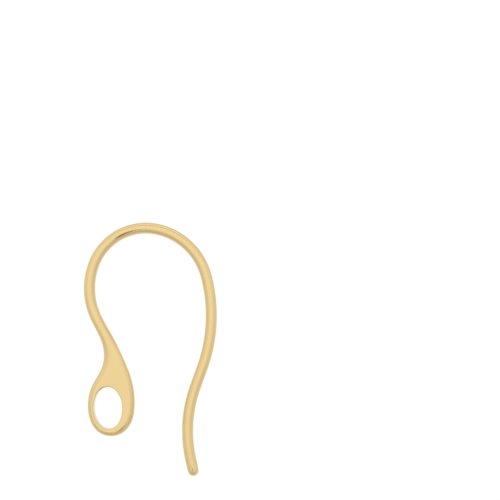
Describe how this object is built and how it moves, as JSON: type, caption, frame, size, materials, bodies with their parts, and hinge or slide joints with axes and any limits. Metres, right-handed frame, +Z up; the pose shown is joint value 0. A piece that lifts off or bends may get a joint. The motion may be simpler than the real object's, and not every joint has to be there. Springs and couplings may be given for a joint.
{
  "type": "ear wire",
  "caption": "Plain gold ear wire: a round wire bow that hooks through the ear, with a flat teardrop lobe and an oval hole for a drop.",
  "frame": {"origin": "on the surface the ear wire lies on, under the middle of its outline", "axes": "+Y along the ear wire from the lobe towards the top of the bow, +X towards the leg, +Z up out of the surface"},
  "size_m": [0.0098, 0.0184, 0.0008],
  "materials": {
    "gold": "polished pale yellow 14-karat gold"
  },
  "bodies": {
    "root": {"ear_wire": "gold"}
  },
  "joints": []
}
